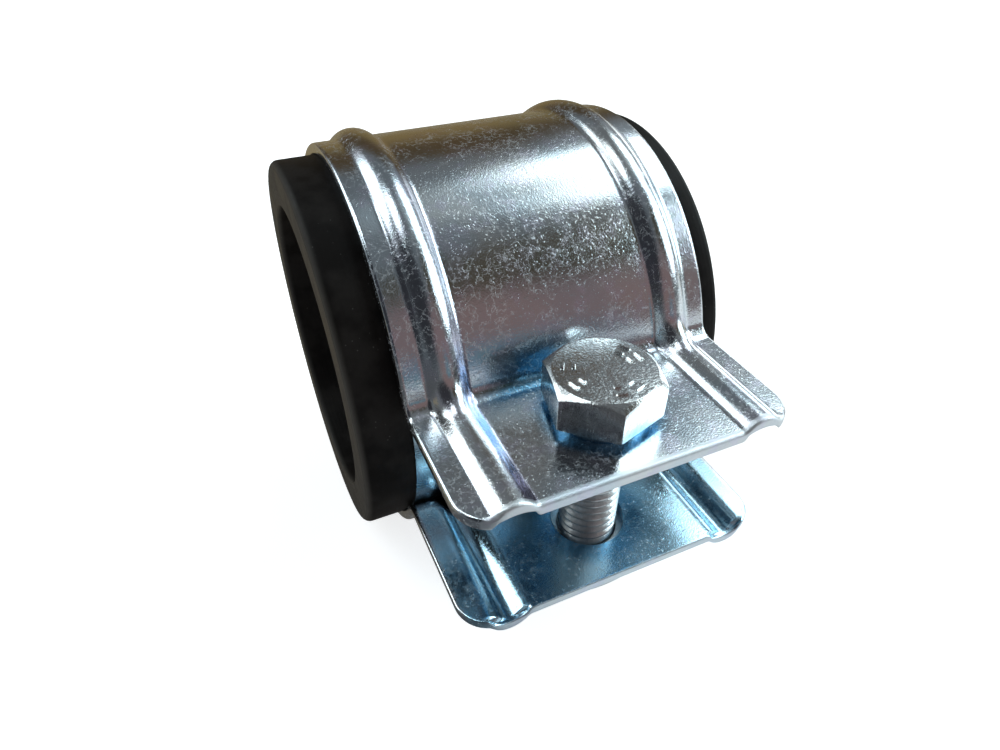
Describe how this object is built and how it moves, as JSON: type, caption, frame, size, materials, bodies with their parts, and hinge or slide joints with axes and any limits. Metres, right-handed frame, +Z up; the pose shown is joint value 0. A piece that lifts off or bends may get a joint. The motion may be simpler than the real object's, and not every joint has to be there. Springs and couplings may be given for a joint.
{
  "type": "pipe coupling",
  "caption": "Pipe coupling with a rubber sleeve in a beaded sheet-steel band that a hex bolt and nut draw together.",
  "frame": {"origin": "on the pipe axis, at the middle of the steel band's width", "axes": "+X along the pipe axis, -Y from the pipe axis towards the bolt, +Z up along the bolt towards its head"},
  "size_m": [0.0536, 0.0775, 0.0606],
  "materials": {
    "black_rubber": "matte moulded rubber",
    "zinc_sheet": "bright zinc plate, faintly blue",
    "thin_zinc_sheet": "bright zinc plate, faintly blue",
    "zinc_bolt": "dull zinc plate"
  },
  "bodies": {
    "sleeve": {"rubber_sleeve": "black_rubber", "bridge_plate": "thin_zinc_sheet"},
    "band": {"clamp_band": "zinc_sheet"},
    "bolt": {"hex_bolt": "zinc_bolt"},
    "nut": {"hex_nut": "zinc_bolt"}
  },
  "joints": [
    {"name": "band_slide", "type": "slide", "parent": "sleeve", "child": "band", "axis": [1, 0, 0], "range_m": [-0.05, 0.05]},
    {"name": "bolt_turn", "type": "hinge", "parent": "band", "child": "bolt", "pos_m": [0, -0.0365, 0.007], "axis": [0, 0, 1], "range_deg": [0, 2160]},
    {"name": "nut_travel", "type": "slide", "parent": "band", "child": "nut", "axis": [0, 0, -1], "range_m": [0, 0.0075]}
  ],
  "couplings": [
    {"joint": "nut_travel", "follows": "bolt_turn", "m_per_rad": 0.00019894}
  ]
}
